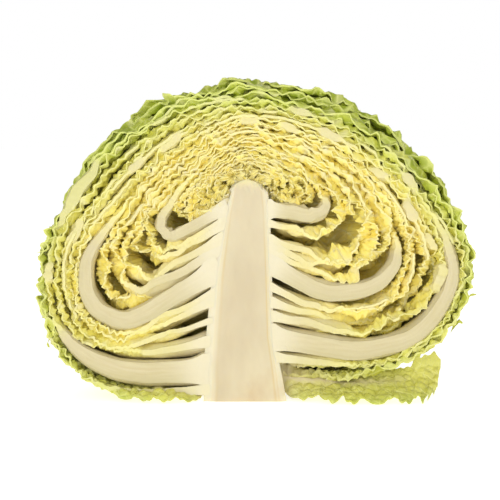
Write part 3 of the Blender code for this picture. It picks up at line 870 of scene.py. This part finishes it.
def loose_shape(lines):
    """The underside of a loose leaf and the values its material needs, each as columns along it by rows."""
    reach = np.linalg.norm(np.diff(lines[:, 1], axis=0), axis=1).sum()
    columns = int(reach / LOOSE_STEP)
    i, j = np.meshgrid(np.arange(columns + 1), np.arange(LOOSE_ROWS + 1), indexing="ij")
    u, share = i / columns, j / LOOSE_ROWS
    notch = lobed(u, reach)
    share = notch + (1 - notch) * share * (1 - .06 * (1 + wobble(u * reach, 0 * u, .0035, 2)))
    hem_line, halfway, top_line = (open_curve(lines[:, k], u) for k in range(3))
    rise = share[..., None]
    spots = hem_line * (1 - rise) * (1 - 2 * rise) + 4 * halfway * rise * (1 - rise)
    spots += top_line * rise * (2 * rise - 1)

    # The blade is blistered between its veins and crumpled along every edge. The rib is stiff and plain.
    fringe = np.exp(-share / .18) + np.exp(-(1 - share) / .12) + np.exp(-(1 - u) / .12)
    x, y = spots[..., 0], spots[..., 1] + .6 * spots[..., 2]
    dome, vein = blisters(x / .0062 + .4 * wobble(x, y, .01), y / .0052)
    crumple, _ = blisters(x / .0026, y / .0026)
    midrib = np.exp(-((share - LOOSE_RIB) / .085) ** 2) * np.clip(1 - u / .68, 0, 1) ** .5
    hem = np.exp(-share / .16)
    lift = .0018 * dome + .0005 * crumple + .0012 * wobble(x, y, .012)
    lift += .0010 * fringe * wobble(x, y, .005, 1)
    lift *= 1 - midrib
    spots[..., 2] += lift * (1 - hem) + .0030 * midrib * (1 - .6 * u)
    spots[..., 1] += hem * (.0016 + .0016 * wobble(x, 0 * y, .0075, 3) - .6 * lift)
    spots[..., 0] += .0008 * fringe * wobble(x, y, .006, 2)
    top = np.exp(-(1 - share) / .2)
    spots[..., 2] += top * (.0024 * wobble(x, 0 * y, .011, 2) + .0012 * wobble(x, 0 * y, .004, 1))
    spots[..., 1] += .0040 * top * wobble(x, 0 * y, .009, 3)
    values = {
        "vein": vein,
        "rib": np.clip(1.2 * midrib + np.exp(-u / .06), 0, 1),
        "cut": .22 + .15 * fringe.clip(0, 1) + .40 * np.clip((share - .45) / .3, 0, 1),
        "along": x,
        "through": 0 * x,
        "foot": 0 * x,
        "pairs": (u - .7 * np.abs(share - LOOSE_RIB)) / .14,
        "lateral": 0 * x,
        "green": .52 + .40 * np.exp(-share / .25) + .15 * wobble(x, y, .03),
    }
    return spots, values


loose_finish = leaf_finish("loose_leaf", cells=200, netted=.5)
for name, lines in LOOSE_LEAVES.items():
    spots, values = loose_shape(np.array(lines))

    def places(column, row, face):
        moved = spots[column, row] + face[:, None] * np.array((0, 0, LOOSE_THICKNESS))
        moved[:, 1] = np.maximum(moved[:, 1], LOOSE_FRONT)
        moved[:, 2] = np.maximum(moved[:, 2], TABLE + TABLE_GAP + .0006 * face)
        return moved, {label: value[column, row] for label, value in values.items()}

    piece = to_piece(name + "_blade", slab_grid(len(spots) - 1, LOOSE_ROWS), places, merge=2e-5)
    piece.data.materials.append(loose_finish)
    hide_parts(name)


# ---- The table ----
# A plain matt floor of pale card, far wider than the view. It glows a little, so that it stays as white as
# the surroundings and only the soft shadow under the head shows on it.

floor_mesh = bmesh.new()
bmesh.ops.create_grid(floor_mesh, x_segments=1, y_segments=1, size=40)
floor_data = bpy.data.meshes.new("floor")
floor_mesh.to_mesh(floor_data)
floor_mesh.free()
floor = bpy.data.objects.new("floor", floor_data)
scene.collection.objects.link(floor)
floor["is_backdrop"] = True
white, surface, _ = new_finish("white_table", roughness=.9, scatter=0, scatter_radius=(.001, .001, .001))
surface["Base Color"].default_value = (.9, .9, .9, 1)
surface["Emission Color"].default_value = (1, 1, 1, 1)
surface["Emission Strength"].default_value = .6
floor_data.materials.append(white)


# ---- The studio ----
# Three round soft lamps: the key in front and above, a low fill in front from the right, and one behind. The
# surroundings are seen as white, and light the head from all sides at about half of that.

HEAD_MIDDLE = (0, 0, .07)


def soft_light(name, where, size, power):
    """A lamp of this size in metres and power in watts, pointed at the middle of the head."""
    lamp = bpy.data.lights.new(name, "AREA")
    lamp.shape, lamp.size, lamp.energy = "DISK", size, power
    light = bpy.data.objects.new(name, lamp)
    aim = np.array(HEAD_MIDDLE) - where
    turn = np.arctan2(aim[1], aim[0]) - np.pi / 2
    light.location = where
    light.rotation_euler = (np.arctan2(np.hypot(aim[0], aim[1]), -aim[2]), 0, turn)
    scene.collection.objects.link(light)


soft_light("key", (-.35, -1.30, .42), size=1.2, power=7.8)
soft_light("fill", (.5, -1.3, .15), size=1.2, power=3.0)
soft_light("back", (.5, 1.2, .8), size=1.0, power=5.0)
world = bpy.data.worlds.new("studio")
world.use_nodes = True
surroundings = world.node_tree.nodes["Background"].inputs
seen = Value(world.node_tree, None).node("ShaderNodeLightPath", {}, {}, "Is Camera Ray")
feed(surroundings, "Color", seen.blend((.47, .47, .47), (1, 1, 1)))
scene.world = world
scene.view_settings.view_transform = "Standard"


# ---- The camera ----
# It faces the cut squarely, from a little above and from far enough away that the head shows without strong
# perspective. All its lengths are in metres, but for the sensor and the lens, which are in millimetres.

DISTANCE, ELEVATION = .70, 4  # from what it is aimed at, and in degrees
AIM = (.0014, FACE_Y, .0715)
VIEW_WIDTH = .2335  # what it takes in at the cut face
SENSOR = 36
lens = bpy.data.cameras.new("camera")
lens.lens, lens.sensor_width = SENSOR * DISTANCE / VIEW_WIDTH, SENSOR
lens.clip_start = .01
camera = bpy.data.objects.new("camera", lens)
tilt = np.radians(ELEVATION)
camera.location = (AIM[0], AIM[1] - DISTANCE * np.cos(tilt), AIM[2] + DISTANCE * np.sin(tilt))
camera.rotation_euler = (np.pi / 2 - tilt, 0, 0)
scene.collection.objects.link(camera)
scene.camera = camera

{"cad": [list(corner) for corner in cad_box], "visual": [list(corner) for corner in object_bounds()]}
